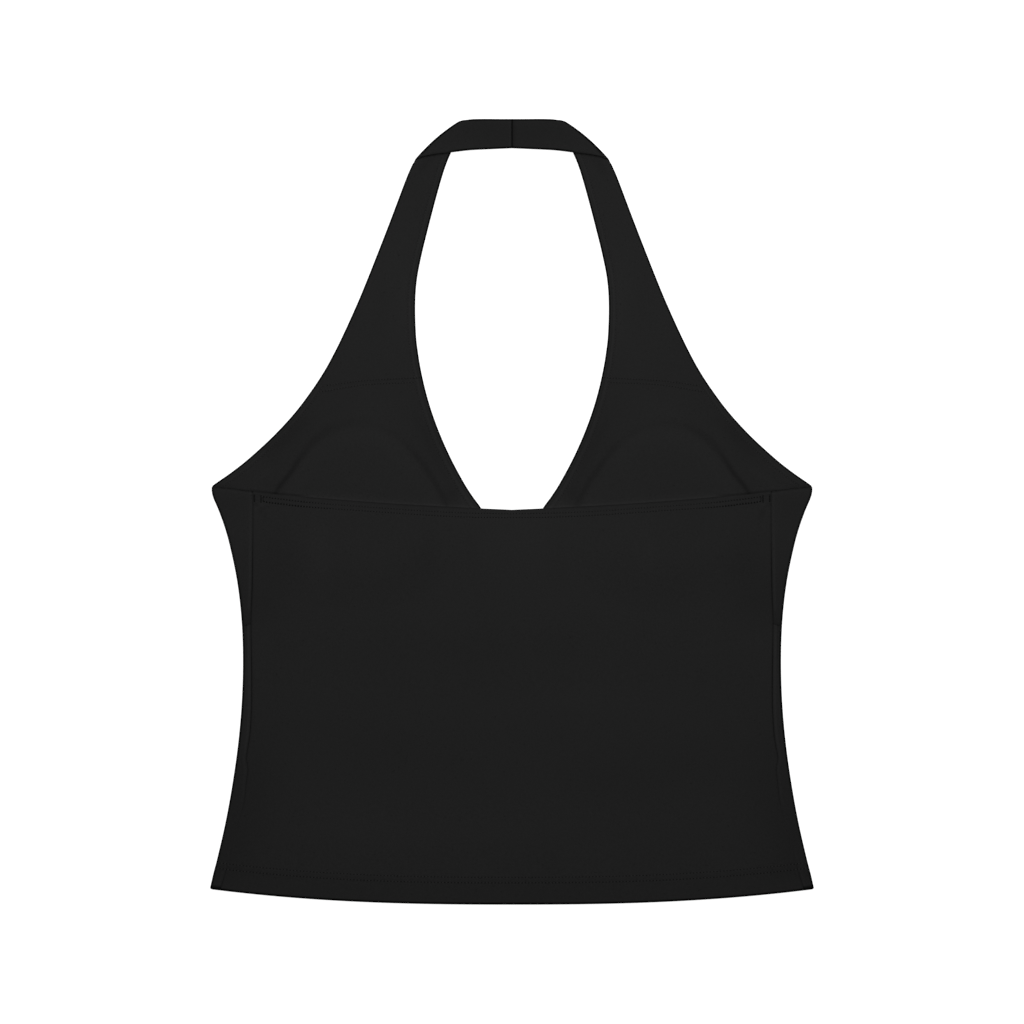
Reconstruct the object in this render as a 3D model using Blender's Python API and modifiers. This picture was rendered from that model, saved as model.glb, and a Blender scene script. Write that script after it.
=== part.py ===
"""Halter neck top, laid flat face down: the front lies below, the back on it, the neck at +Y.

The front wraps round both sides to side seams on the back. Its bust part is lined, with a cup pad
between the layers. A double strap rises from each side of the bust, folds over behind the neck and
meets the other one at the centre back. X runs across, Y from hem to neck and Z up from the table.
"""
import math

import bmesh
import bpy
from mathutils import Vector

NAME = "halter_neck_top"
MM = 0.001              # the sizes below are in millimetres, the meshes in metres

# Cloth
WALL = 1.0              # one layer of jersey
GAP = 0.3               # clear space between layers, and between pieces at a seam
SEAM = GAP / 2          # each piece stops this far short of the seam line
LAYER = WALL + GAP      # from the middle of one layer to the middle of the next
TURN = LAYER / 2        # bend radius of a turned edge, at the middle of the cloth
TURN_REACH = TURN + WALL / 2
FRONT_Z = WALL / 2      # middle of the front, which lies on the table
LINING_Z = FRONT_Z + LAYER

# Outline, from the centre line
HALF_LENGTH = 248.0     # the neck band's top and the hem's lowest point lie this far from the middle
HALF_WIDTH = 190.0      # at the corners of the armholes, and again at the hem
SEAM_TOP_X = 163.7      # half width at the top of the side seam
CORNER_Y = 15.8         # the armhole edge passes from the front to the wrapped side here
UNDERBUST_Y = -72.0     # seam between the bust part and the lower front
NECK_POINT_Y = -28.0    # lowest point of the neckline's V, under the back
SIDE_EDGE = (           # place along Y, half width at the side fold
    (-248, 192.0), (-238, HALF_WIDTH), (-220, 186.4), (-195, 180.8), (-169, 176.3), (-144, 172.5),
    (-119, 170.6), (-93, 170.0), (-68, 170.6), (-43, 173.8), (-18, 178.9), (-5, 182.6),
    (3, 186.0), (10, 188.9), (CORNER_Y, HALF_WIDTH))
ARM_EDGE = (            # place along Y, half width at the armhole and the strap's outer edge
    (CORNER_Y, HALF_WIDTH), (17.7, 187.7), (25, 177.0), (33, 167.5), (40, 158.6), (48, 150.4), (56, 143.5),
    (63, 137.0), (71, 131.0), (78, 126.0), (86, 120.7), (93.5, 116.3), (109, 108.0), (131.5, 98.0),
    (147, 91.6), (162, 85.3), (177, 79.6), (192, 74.0), (207, 68.3), (216.1, 64.1))
NECK_EDGE = (           # place along Y, half width at the neckline and the strap's inner edge
    (NECK_POINT_Y, 0.0), (-18, 6.6), (-8, 13.4), (2.5, 20.0), (10, 25.6), (18, 30.7), (25, 35.0), (33, 39.0),
    (40, 42.0), (48, 45.8), (56, 48.6), (63, 51.5), (78, 56.0), (86, 57.3), (93.5, 59.0),
    (109, 61.0), (131, 61.6), (147, 60.4), (158, 59.2), (169, 56.2), (177, 54.0), (192, 50.0),
    (207, 46.2), (215, 44.0), (222.5, 40.9), (227.5, 37.6), (234.5, 36.0), (241.9, 35.9))
SIDE_SEAM = (           # place along Y, half width at the side seam on the back
    (-248, 188.0), (-237, 184.0), (-219, 178.5), (-209, 176.0), (-198, 173.0), (-183, 169.5),
    (-158, 168.0), (-139, 166.0), (-119, 164.3), (-72, 164.6), (-55, 164.0), (12.3, SEAM_TOP_X))
WRAP_SKEW = 3.5         # the wrapped side's top edge falls this much on its way to the side seam
WRAP_SKEW_REACH = 40.0

# Hem, and the casing at the back's top edge
HEM_RISE, HEM_POWER = 9.7, 2.5
HEM_DEPTH = 19.0
BACK_TOP_Y, BACK_TOP_RISE, BACK_TOP_POWER = 1.0, 11.3, 1.1
CASING_DEPTH = 8.0

# Height of the back's middle above the table: (place along Y, height)
BACK_HEM_Z, BACK_WAIST_Z, BACK_BUST_Z = 4.6, 2.9, 5.1
HEM_SLOPE = (-212.0, -178.0)
BUST_SLOPE = (-112.0, -78.0)

# Cup pads: a round with three soft corners, one of them at the top
PAD_CENTRE = (96.0, -2.0)
PAD_RADIUS, PAD_CORNER = 54.6, 0.06
PAD_BOTTOM_Z = WALL + GAP
PAD_RISE = 4.0          # height that the pad gives to the layers above it
PAD_SLOPE = (-9.0, 12.0)   # its slope starts outside the pad's edge and ends inside it
PAD_CLEARANCE = 0.9
PAD_RINGS = (1.0, 0.94, 0.87, 0.77)
PAD_SIDES = 36

# Straps, of double cloth, each with a half of the neck band
STRAP_WALL = 2 * WALL + GAP
STRAP_Z = STRAP_WALL / 2
STRAP_TURN = STRAP_Z + SEAM
STRAP_SEAM_OUTER_Y, STRAP_SEAM_INNER_Y = 77.5, 84.3
STRAP_ROWS = (          # places along Y of a row's outer end and inner end
    (86, 91.5), (94, 98.5), (109, 111), (131.5, 131.5), (147, 147), (162, 163), (177, 181),
    (192, 200), (204, 218), (216.1, 241.9))
FOLD_OUTER, FOLD_INNER = (61.5, 221.8), (33.8, 247.2)   # ends of the diagonal fold, at its edge
FOLD_RUN_OUTER, FOLD_RUN_INNER = 9.7, 8.6               # how far each edge runs along the fold
FOLD_BOW = 2.0          # the fold curves out this much between its ends
BAND_LOWER_EDGE = ((48, 225.6), (38.9, 227.5), (28, 228.6), (18, 229.3), (9, 229.8), (0, 230))
BAND_UPPER_EDGE = ((25, 247.9), (20, 248), (15, 248), (10, 248), (5, 248), (0, 248))
BAND_SAG = (6.0, 28.0)  # between these half widths the band comes down to the table
BAND_LIFT = 0.1         # and stays this much clear of it

# Mesh steps
BODY_COLUMNS, BUST_COLUMNS, LINING_COLUMNS, BACK_COLUMNS, STRAP_COLUMNS = 6, 4, 18, 14, 3
FOLD_STEPS, WRAP_COLUMNS, TURN_STEPS = 6, 2, 4
BUST_ROWS = (           # places along Y at the outer end, from the under-bust seam upwards
    -64, -57, -50, -43, -36, NECK_POINT_Y, -20, -12, -4, 4, 9, CORNER_Y, 17.7, 21, 25.5, 31, 37, 43,
    49, 55, 61, 69)
BODY_ROWS = (           # shares of the way from the under-bust seam to the hem
    0.0, 0.1, 0.2, 0.3, 0.4, 0.5, 0.6, 0.7, 0.78, 0.86, 0.93, 1.0)


def smooth(part):
    """Ease from 0 to 1 while part goes from 0 to 1."""
    part = min(max(part, 0.0), 1.0)
    return part * part * (3 - 2 * part)


def mix(start, end, part):
    return start + (end - start) * part


def read(table, place):
    """Value at a place, on a smooth curve through a table's rows of (place, value)."""
    last = len(table) - 1
    index = 0
    while index < last - 1 and table[index + 1][0] < place:
        index += 1

    def slope(row):
        before, after = table[max(row - 1, 0)], table[min(row + 1, last)]
        return (after[1] - before[1]) / (after[0] - before[0])

    (start, low), (end, high) = table[index], table[index + 1]
    span = end - start
    part = (place - start) / span
    bend = part * part * (3 - 2 * part)
    rise_low = slope(index) * span * part * (1 - part) ** 2
    rise_high = slope(index + 1) * span * part * part * (part - 1)
    return mix(low, high, bend) + rise_low + rise_high


def hem_y(x):
    return -HALF_LENGTH + HEM_RISE * (abs(x) / HALF_WIDTH) ** HEM_POWER


def back_top_y(x):
    return BACK_TOP_Y + BACK_TOP_RISE * (abs(x) / SEAM_TOP_X) ** BACK_TOP_POWER


def back_level(y):
    """Height of the back's middle, without the pads: low at the waist, higher over more layers."""
    hem_part = smooth((HEM_SLOPE[1] - y) / (HEM_SLOPE[1] - HEM_SLOPE[0]))
    bust_part = smooth((y - BUST_SLOPE[0]) / (BUST_SLOPE[1] - BUST_SLOPE[0]))
    return (BACK_WAIST_Z + (BACK_HEM_Z - BACK_WAIST_Z) * hem_part
            + (BACK_BUST_Z - BACK_WAIST_Z) * bust_part)


def pad_edge(angle):
    return PAD_RADIUS * (1 + PAD_CORNER * math.cos(3 * (angle - math.pi / 2)))


def pad_rise(x, y):
    """Height that the layers above a pad gain from it."""
    across, along = abs(x) - PAD_CENTRE[0], y - PAD_CENTRE[1]
    inside = pad_edge(math.atan2(along, across)) - math.hypot(across, along)
    start, end = PAD_SLOPE
    return PAD_RISE * smooth((inside - start) / (end - start))


def front_row(inner, y_at, inset=0.0, columns=BODY_COLUMNS):
    """A row of the front: from its inner end to the side fold, round it and to the side seam.

    y_at gives a point's place along Y from its half width and from its share of the wrapped side.
    The inset moves the row inwards, to the layer that is turned up inside.
    """
    edge_y = y_at(HALF_WIDTH, 0.0)
    level = back_level(edge_y)
    radius = (level - FRONT_Z) / 2
    fold_x = read(SIDE_EDGE, edge_y) - WALL / 2 - radius
    row = []
    for column in range(columns + 1):
        x = mix(inner, fold_x, column / columns)
        row.append((x, y_at(x, 0.0), FRONT_Z + inset))
    for step in range(1, FOLD_STEPS):
        angle = math.pi * step / FOLD_STEPS
        reach = radius - inset
        x = fold_x + reach * math.sin(angle)
        row.append((x, y_at(x, 0.0), FRONT_Z + radius - reach * math.cos(angle)))
    for column in range(WRAP_COLUMNS + 1):
        part = column / WRAP_COLUMNS
        y = y_at(mix(fold_x, seam_x(y_at), part), part)
        row.append((mix(fold_x, seam_x(y_at) + SEAM, part), y, back_level(y) - inset))
    return row


def seam_x(y_at):
    """Half width at the side seam of a row whose place along Y changes across it."""
    half = read(SIDE_SEAM, y_at(SEAM_TOP_X, 1.0))
    return read(SIDE_SEAM, y_at(half, 1.0))


def turned_edge(row_at, edge_step, depth):
    """Rows that turn a piece's edge over to the inside and run on to the turned layer's end."""
    rows = []
    for step in range(1, TURN_STEPS + 1):
        angle = math.pi * step / TURN_STEPS
        rows.append(row_at(edge_step * (TURN_REACH - TURN * math.sin(angle)),
                           TURN * (1 - math.cos(angle))))
    rows.append(row_at(edge_step * depth / 2, LAYER))
    rows.append(row_at(edge_step * depth, LAYER))
    return rows


def body_y(x, part):
    """Place along Y of a body row, from the under-bust seam (part 0) to the hem (part 1)."""
    return mix(UNDERBUST_Y - SEAM, hem_y(x) + TURN_REACH, part)


def front_body_rows():
    rows = [front_row(0.0, lambda x, wrap, part=part: body_y(x, part)) for part in BODY_ROWS]
    return rows + turned_edge(
        lambda rise, inset: front_row(0.0, lambda x, wrap: hem_y(x) + rise, inset), 1, HEM_DEPTH)


def bust_ends(outer_y):
    """Inner and outer end of a bust row; rows tilt towards the strap seam."""
    tilt = STRAP_SEAM_INNER_Y - STRAP_SEAM_OUTER_Y
    inner_y = outer_y + tilt * smooth((outer_y - CORNER_Y) / (STRAP_SEAM_OUTER_Y - CORNER_Y))
    inner_x = read(NECK_EDGE, inner_y) if inner_y > NECK_POINT_Y else 0.0
    return inner_x, inner_y


def wrap_fall(outer_y):
    """How far a bust row falls on its way over the wrapped side, most at the armhole edge."""
    return WRAP_SKEW * max(0.0, 1 - (CORNER_Y - outer_y) / WRAP_SKEW_REACH)


def bust_places():
    return (UNDERBUST_Y + SEAM,) + BUST_ROWS + (STRAP_SEAM_OUTER_Y - SEAM,)


def straight_row(inner, outer, columns, z_at):
    (inner_x, inner_y), (outer_x, outer_y) = inner, outer
    row = []
    for column in range(columns + 1):
        x = mix(inner_x, outer_x, column / columns)
        y = mix(inner_y, outer_y, column / columns)
        row.append((x, y, z_at(x, y)))
    return row


def front_bust_rows():
    rows = []
    for outer_y in bust_places():
        inner_x, inner_y = bust_ends(outer_y)
        if outer_y <= CORNER_Y:
            fall = wrap_fall(outer_y)
            rows.append(front_row(inner_x, lambda x, wrap: outer_y - fall * wrap,
                                  columns=BUST_COLUMNS))
        else:
            rows.append(straight_row((inner_x, inner_y), (read(ARM_EDGE, outer_y), outer_y),
                                     BUST_COLUMNS, lambda x, y: FRONT_Z))
    return rows


def lining_rows():
    rows = []
    for outer_y in bust_places():
        if outer_y <= CORNER_Y:
            outer_x = read(SIDE_EDGE, outer_y) - (back_level(outer_y) + LAYER) / 2
        else:
            outer_x = read(ARM_EDGE, outer_y)
        rows.append(straight_row(bust_ends(outer_y), (outer_x, outer_y), LINING_COLUMNS,
                                 lambda x, y: LINING_Z + pad_rise(x, y)))
    return rows


def back_rows():
    """The back's rows end at the side seam where the front's rows do."""
    def row(y_at, inset=0.0):
        half = seam_x(y_at) - SEAM
        points = []
        for column in range(BACK_COLUMNS + 1):
            x = half * column / BACK_COLUMNS
            y = y_at(x, 1.0)
            points.append((x, y, back_level(y) + pad_rise(x, y) - inset))
        return points

    def top_y(x):
        return back_top_y(x) - TURN_REACH

    def bottom_y(x):
        return hem_y(x) + TURN_REACH

    top_x = read(SIDE_SEAM, CORNER_Y - WRAP_SKEW)
    hem_x = read(SIDE_SEAM, hem_y(top_x))
    top, bottom = top_y(top_x), bottom_y(hem_x)
    bust = [outer_y - wrap_fall(outer_y) for outer_y in BUST_ROWS if outer_y < CORNER_Y]
    places = [top] + bust[::-1] + [body_y(hem_x, part) for part in BODY_ROWS]
    rows = []
    for place in places:
        part = (place - top) / (bottom - top)
        rows.append(row(lambda x, wrap: mix(top_y(x), bottom_y(x), part)))
    casing = turned_edge(
        lambda drop, inset: row(lambda x, wrap: back_top_y(x) + drop, inset), -1, CASING_DEPTH)
    hem = turned_edge(lambda rise, inset: row(lambda x, wrap: hem_y(x) + rise, inset), 1, HEM_DEPTH)
    return casing[::-1] + rows + hem


def band_z(x):
    """The band lies on the straps at its ends and comes down to the table in its middle."""
    start, end = BAND_SAG
    rise = smooth((abs(x) - start) / (end - start))
    return STRAP_Z + BAND_LIFT + (2 * STRAP_TURN - BAND_LIFT) * rise


def strap_rows(side):
    """A strap's rows: up from its seam, over the diagonal fold and along its half of the band."""
    along = (Vector(FOLD_INNER) - Vector(FOLD_OUTER)).normalized()
    out = Vector((-along.y, along.x))
    if out.y < 0:
        out.negate()

    def row(outer, inner, outer_z, inner_z, bow=0.0):
        points = []
        for column in range(STRAP_COLUMNS + 1):
            part = column / STRAP_COLUMNS
            place = Vector(outer).lerp(Vector(inner), part) + out * bow * 4 * part * (1 - part)
            points.append((side * place.x, place.y, mix(outer_z, inner_z, part)))
        return points

    ends = [(STRAP_SEAM_OUTER_Y + SEAM, STRAP_SEAM_INNER_Y + SEAM)] + list(STRAP_ROWS)
    edges = [(Vector((read(ARM_EDGE, outer_y), outer_y)), Vector((read(NECK_EDGE, inner_y), inner_y)))
             for outer_y, inner_y in ends]
    bows = [0.0] * (len(edges) - 2) + [FOLD_BOW / 2, FOLD_BOW]
    rows = [row(outer, inner, STRAP_Z, STRAP_Z, bow) for (outer, inner), bow in zip(edges, bows)]

    start_outer, start_inner = edges[-1]
    for step in range(1, FOLD_STEPS + 1):
        part = step / FOLD_STEPS
        reach = out * STRAP_TURN * math.sin(math.pi * part)
        z = STRAP_Z + STRAP_TURN * (1 - math.cos(math.pi * part))
        rows.append(row(start_outer + along * FOLD_RUN_OUTER * part + reach,
                        start_inner + along * FOLD_RUN_INNER * part + reach, z, z, FOLD_BOW))
    for index, (lower, upper) in enumerate(zip(BAND_LOWER_EDGE, BAND_UPPER_EDGE)):
        lower, upper = [(max(x, SEAM), y) for x, y in (lower, upper)]
        bow = FOLD_BOW / 2 if index == 0 else 0.0
        rows.append(row(lower, upper, band_z(lower[0]), band_z(upper[0]), bow))
    return rows


def make_object(name, bm, collection, material):
    mesh = bpy.data.meshes.new(name)
    bm.to_mesh(mesh)
    bm.free()
    mesh.shade_smooth()
    mesh.materials.append(material)
    piece = bpy.data.objects.new(name, mesh)
    collection.objects.link(piece)
    return piece


def make_sheet(name, rows, wall, collection, material, mirrored=True):
    """Cloth through rows of points, where a row may stop short of its neighbour's end."""
    bm = bmesh.new()
    grid = [[bm.verts.new(Vector(point) * MM) for point in row] for row in rows]
    for low, high in zip(grid, grid[1:]):
        for corners in zip(low, low[1:], high[1:], high):
            bm.faces.new(corners)
    piece = make_object(name, bm, collection, material)
    if mirrored:
        mirror = piece.modifiers.new("other half", "MIRROR")
        mirror.merge_threshold = 0.01 * MM
    solidify = piece.modifiers.new("wall", "SOLIDIFY")
    solidify.thickness = wall * MM
    solidify.offset = 0.0
    solidify.use_even_offset = True


def make_pad(name, side, collection, material):
    """A pad: flat below, sloping up from its edge to a level top."""
    def ring(share, z_at):
        points = []
        for corner in range(PAD_SIDES):
            angle = math.tau * corner / PAD_SIDES
            x = PAD_CENTRE[0] + pad_edge(angle) * share * math.cos(angle)
            y = PAD_CENTRE[1] + pad_edge(angle) * share * math.sin(angle)
            points.append(bm.verts.new(Vector((side * x, y, z_at(x, y))) * MM))
        return points

    def top(x, y):
        return LINING_Z - WALL / 2 - PAD_CLEARANCE + pad_rise(x, y)

    bm = bmesh.new()
    rings = [ring(PAD_RINGS[0], lambda x, y: PAD_BOTTOM_Z)] + [ring(share, top) for share in PAD_RINGS]
    for low, high in zip(rings, rings[1:]):
        for corner in range(PAD_SIDES):
            after = (corner + 1) % PAD_SIDES
            bm.faces.new((low[corner], low[after], high[after], high[corner]))
    bm.faces.new(rings[0])
    bm.faces.new(rings[-1])
    bmesh.ops.recalc_face_normals(bm, faces=bm.faces)
    make_object(name, bm, collection, material)


def make_material(name, colour, roughness):
    material = bpy.data.materials.new(name)
    material.use_nodes = True
    shader = material.node_tree.nodes["Principled BSDF"]
    shader.inputs["Base Color"].default_value = (*colour, 1.0)
    shader.inputs["Roughness"].default_value = roughness
    shader.inputs["Metallic"].default_value = 0.0
    return material


def main():
    for thing in list(bpy.data.objects):
        bpy.data.objects.remove(thing, do_unlink=True)
    collection = bpy.data.collections.new(NAME)
    bpy.context.scene.collection.children.link(collection)

    jersey = make_material("front jersey", (0.015, 0.015, 0.016), 0.85)
    bust = make_material("bust jersey", (0.015, 0.015, 0.016), 0.85)
    back = make_material("back jersey", (0.015, 0.015, 0.016), 0.85)
    lining = make_material("lining jersey", (0.014, 0.014, 0.015), 0.85)
    foam = make_material("pad foam", (0.02, 0.02, 0.02), 0.95)
    strap = make_material("strap jersey", (0.015, 0.015, 0.016), 0.85)

    make_sheet("front_body", front_body_rows(), WALL, collection, jersey)
    make_sheet("front_bust", front_bust_rows(), WALL, collection, bust)
    make_sheet("bust_lining", lining_rows(), WALL, collection, lining)
    make_sheet("back", back_rows(), WALL, collection, back)
    for label, side in (("left", -1), ("right", 1)):
        make_pad(f"cup_pad_{label}", side, collection, foam)
        make_sheet(f"strap_{label}", strap_rows(side), STRAP_WALL, collection, strap, mirrored=False)


main()
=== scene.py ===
"""Looks of the halter neck top: fine cloth shells on the frame's solids, sewing, knit and light.

The top lies flat, face down, with its neck at +Y. Lengths in the tables are in millimetres.
"""

import math

import bpy
import numpy as np
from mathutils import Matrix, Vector
from mathutils.bvhtree import BVHTree
from mathutils.kdtree import KDTree


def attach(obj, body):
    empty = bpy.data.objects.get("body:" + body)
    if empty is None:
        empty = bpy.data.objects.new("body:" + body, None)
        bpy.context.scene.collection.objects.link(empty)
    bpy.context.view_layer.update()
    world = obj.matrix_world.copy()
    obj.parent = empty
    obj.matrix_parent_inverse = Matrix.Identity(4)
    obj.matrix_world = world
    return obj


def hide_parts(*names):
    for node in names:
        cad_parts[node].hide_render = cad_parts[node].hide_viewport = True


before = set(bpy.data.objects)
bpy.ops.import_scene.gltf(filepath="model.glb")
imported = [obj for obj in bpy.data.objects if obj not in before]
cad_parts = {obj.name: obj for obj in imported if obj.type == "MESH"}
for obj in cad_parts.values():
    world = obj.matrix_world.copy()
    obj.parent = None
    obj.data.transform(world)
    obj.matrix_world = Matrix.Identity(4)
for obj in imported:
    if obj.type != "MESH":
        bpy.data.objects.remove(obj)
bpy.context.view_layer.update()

MM = 0.001

# Cloth and layers, on the same heights as the solids
WALL = 0.8
LAYER = 1.3
TURN = LAYER / 2
TURN_REACH = TURN + WALL / 2
FRONT_Z = 0.5
LINING_Z = FRONT_Z + LAYER
LAP = 0.2  # how far a cloth's rounded edge runs under its neighbour's at a seam
STRAP_WALL = 2.1
STRAP_ROUND = 0.8
STRAP_LAP = 0.5
STRAP_Z = 1.15
STRAP_TURN = 1.07

# Outline, from the centre line: (place along Y, half width)
HALF_LENGTH = 248.0
HALF_WIDTH = 190.0
SEAM_TOP_X = 163.7
CORNER_Y = 15.8
UNDERBUST_Y = -72.0
UNDERBUST_SKEW = 1.2
NECK_POINT_Y = -28.0
SIDE_EDGE = (
    (-248, 193.4), (-238, 190.9), (-229, 188.9), (-220, 186.6), (-195, 181.0), (-169, 176.4),
    (-144, 172.95), (-119, 170.8), (-93, 170.05), (-68, 170.9), (-43, 173.8), (-18, 179.1),
    (-5, 183.05), (3, 186.15), (10, 189.1), (CORNER_Y, 190.2))
ARM_EDGE = (
    (CORNER_Y, 190.2), (17.7, 187.8), (25, 177.35), (33, 167.15), (48, 150.8), (63, 137.0),
    (78, 125.8), (93.5, 116.15), (109, 108.2), (124, 101.2), (139, 94.8), (154, 88.7), (169, 82.85),
    (185, 76.6), (200, 71.0), (213, 66.0), (217, 64.2), (219, 63.35), (220.5, 62.5), (221.6, 61.5))
NECK_EDGE = (
    (NECK_POINT_Y, 0.0), (-18, 6.6), (-8, 13.4), (3, 20.0), (10, 25.1), (18, 30.2), (33, 38.3),
    (48, 45.1), (63, 50.7), (78, 55.05), (93.5, 58.3), (109, 60.45), (124, 61.3), (139, 60.8),
    (154, 59.2), (169, 55.5), (185, 51.65), (200, 47.65), (213, 43.95), (222.5, 40.65), (225, 39.6),
    (227, 38.6), (234.5, 36.0), (242.6, 35.3))
SIDE_SEAM = (
    (-248, 188.0), (-237, 184.0), (-219, 178.5), (-209, 176.0), (-198, 173.0), (-183, 169.3),
    (-170, 167.8), (-162, 167.0), (-156, 168.0), (-142, 165.9), (-130, 165.0), (-119, 164.6),
    (-98, 164.6), (-72, 164.9), (-62, 164.7), (-50, 164.2), (-30, 163.9), (0, 163.6), (13.1, SEAM_TOP_X))
SEAM_SHOW = (  # how strongly the side seam shows, along Y
    (-248, 0.45), (-232, 0.45), (-224, 0.2), (-209, 0.0), (-193, 0.1), (-177, 0.35), (-160, 0.5),
    (-143, 0.8), (-95, 1.0), (-78, 0.8), (-62, 0.8), (-45, 1.0), (-30, 0.9), (-12, 0.6), (12.3, 0.5))
WRAP_SKEW, WRAP_SKEW_REACH, WRAP_SKEW_POWER = 2.7, 40.0, 1.5

HEM_RISE, HEM_POWER, HEM_DEPTH = 9.7, 2.5, 19.0
HEM_STITCHES = (13.9, 17.4)  # rows above the hem's edge
BACK_TOP_EDGE = (  # (half width, place along Y)
    (0, 1.4), (43, 3.4), (80, 5.6), (109, 7.75), (118, 8.5), (147, 10.95), (156, 12.0),
    (SEAM_TOP_X, 12.9))
BACK_TOP_MIDDLE = 125.0  # the lining has painted light beside the casing's edge up to here from the centre
CASING_DEPTH = 8.0
CASING_STITCHES = (  # rows below the casing's edge: (half width, drop)
    ((0, 2.5), (30, 3.3), (60, 3.4), (90, 3.2), (118, 3.3), (131, 3.2), (146, 2.7), (160, 2.5)),
    ((0, 5.0), (30, 5.9), (60, 5.9), (90, 5.8), (118, 6.1), (131, 6.2), (146, 5.7), (160, 5.4)))
NECK_STITCHES = ((0, 5.3), (60, 5.3), (110, 4.7), (244, 4.1))  # row inside the neckline, along Y
ARM_STITCHES = 4.5  # row inside the armhole

BACK_HEM_Z, BACK_WAIST_Z, BACK_BUST_Z = 4.6, 2.9, 5.1
HEM_SLOPE, BUST_SLOPE = (-222.0, 54.0), (-130.0, 70.0)  # slopes: (start, reach)

PAD_CENTRE = (96.0, -2.0)
PAD_RADIUS, PAD_CORNER = 54.6, 0.06
PAD_RISE = 3.6
PAD_SLOPE = (-12.0, 38.0)
PAD_CLEARANCE, PAD_THINNEST = 0.6, 0.15
PAD_Z = 1.25  # height of the pads' flat side
CUP_LINE = (  # the pad's edge in the lining, a groove with painted shade in it: (angle, strength, width, place outside the pad)
    (0, 0.30, 1.3, 4.0), (15, 0.30, 1.3, 2.9), (30, 0.28, 1.4, 0.0), (40, 0.22, 1.6, 0.0),
    (49, 0.15, 2.2, 0.2), (61, 0.12, 2.8, 0.8), (72, 0.09, 2.8, 0.8), (84, 0.04, 2.5, 0.4),
    (100, 0.02, 2.5, 0), (119, 0.05, 2.2, -0.8), (130, 0.11, 1.9, -1.2), (150, 0.15, 1.8, -0.4),
    (168, 0.16, 1.9, 0.8), (180, 0.15, 2.2, 2.2))
CUP_GROOVE = 3.6  # the line's depth at a strength of 1

STRAP_SEAM_OUTER_Y, STRAP_SEAM_INNER_Y, STRAP_SEAM_BOW = 77.5, 84.3, 0.9
STRAP_SEAM_STITCHES = (
    ((118.5, 79.8), (94.0, 82.9), (58.6, 84.9)),
    ((121.5, 75.8), (94.0, 80.3), (62.6, 81.8)))
FOLD_RUN_OUTER, FOLD_RUN_INNER = 4.2, 8.0  # how far its ends run on along the fold as it turns over
STRAP_ROWS = (  # (outer y, inner y, share of the fold's bow)
    (86, 91.5, 0), (94, 98.5, 0), (109, 111, 0), (131.5, 131.5, 0), (147, 147, 0), (162, 163, 0),
    (177, 181, 0), (192, 200, 0), (204, 214.5, 0), (208, 222, 0.1), (211, 226, 0.25),
    (214, 230, 0.45), (217.5, 235.2, 0.7), (219.2, 238.1, 0.85), (220.5, 240.5, 0.93), (221.6, 242.7, 1))
FOLD_BOW, FOLD_FLUSH = 1.45, 0.75  # how far the fold bows out, and stands out more at its ends
FOLD_PAINTED_SHADE, FOLD_DARK_REACH = 0.9, (2.0, 1.25)  # painted shade along the fold: how dark; reach at its outer, inner end
BAND_LOWER_EDGE = ((48, 226.0), (38.9, 227.1), (28, 228.4), (18, 229.1), (9, 229.6), (0, 230.0))
BAND_UPPER_EDGE = ((25, 248.2), (20, 248.4), (15, 248.5), (10, 248.5), (5, 248.5), (0, 248.5))
BAND_SLOPE, BAND_LIFT = (6.0, 22.0), 0.1  # the band sinks to the straps' level, less the lift

# Places of grid lines near a free edge or a seam: the first ones round the edge off
RIM = (0.0, 0.06, 0.2, 0.4)
EDGE_LINES = RIM + (0.7, 1.0, 1.25, 1.5, 1.8, 2.1, 2.4, 2.9, 3.5, 4.1, 4.6, 5.0, 5.4, 6.0, 7.0)
SEAM_LINES = RIM + (0.7, 1.0, 1.4, 1.8, 2.3, 3.2)
STRAP_LINES = (0.0, 0.1, 0.3, 0.55, 0.8, 1.05, 1.3, 1.6, 2.0, 2.4, 3.0, 3.6, 4.1, 4.6, 5.2, 6.0)
STRAP_SEAM_LINES = RIM + (0.8, 1.4, 2.0, 2.6, 3.2)
FAR = 50.0  # a distance from an edge that isn't there

EDGE_PITCH, CASING_PITCH, HEM_PITCH, TACK_PITCH = 1.83, 1.84, 2.12, 0.62

# Painted shade along the cloth's edges, the hem's edge and the band's edge, darkening the colour there
EDGE_PAINTED_SHADE, EDGE_DARK_REACH = 0.82, 0.85  # painted shade at the cloth's edges: how dark, and how far in
HEM_DARK, HEM_DARK_REACH = 0.88, 0.8
EDGE_FADE = 0.5
BAND_ON_STRAP_DARK = 0.12  # the same for the band's edge where it lies on the strap


# ---------------- measuring

def smooth(part):
    part = np.clip(part, 0.0, 1.0)
    return part * part * (3 - 2 * part)


def ramp(value, start, reach):
    """0 up to the start, then smoothly up to 1 within the reach."""
    return smooth((value - start) / reach)


def mix(start, end, part):
    return start + (end - start) * part


def line(distance, width):
    """1 on a line, fading to 0 beside it."""
    return np.exp(-(distance / width) ** 2)


def stripe(distance, shape):
    """A soft line beside an edge or a seam; its shape is (strength, distance, width)."""
    strength, place, width = shape
    return strength * line(distance - place, width)


def read(table, place):
    """Values at places, on a smooth curve through a table's rows of (place, value)."""
    table = np.asarray(table, float)
    places, values = table[:, 0], table[:, 1]
    slopes = np.empty(len(places))
    slopes[1:-1] = (values[2:] - values[:-2]) / (places[2:] - places[:-2])
    slopes[0] = (values[1] - values[0]) / (places[1] - places[0])
    slopes[-1] = (values[-1] - values[-2]) / (places[-1] - places[-2])
    place = np.clip(np.asarray(place, float), places[0], places[-1])
    index = np.clip(np.searchsorted(places, place, side="left") - 1, 0, len(places) - 2)
    span = places[index + 1] - places[index]
    part = (place - places[index]) / span
    bend = part * part * (3 - 2 * part)
    return (mix(values[index], values[index + 1], bend) + slopes[index] * span * part * (1 - part) ** 2
            + slopes[index + 1] * span * part * part * (part - 1))


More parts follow.
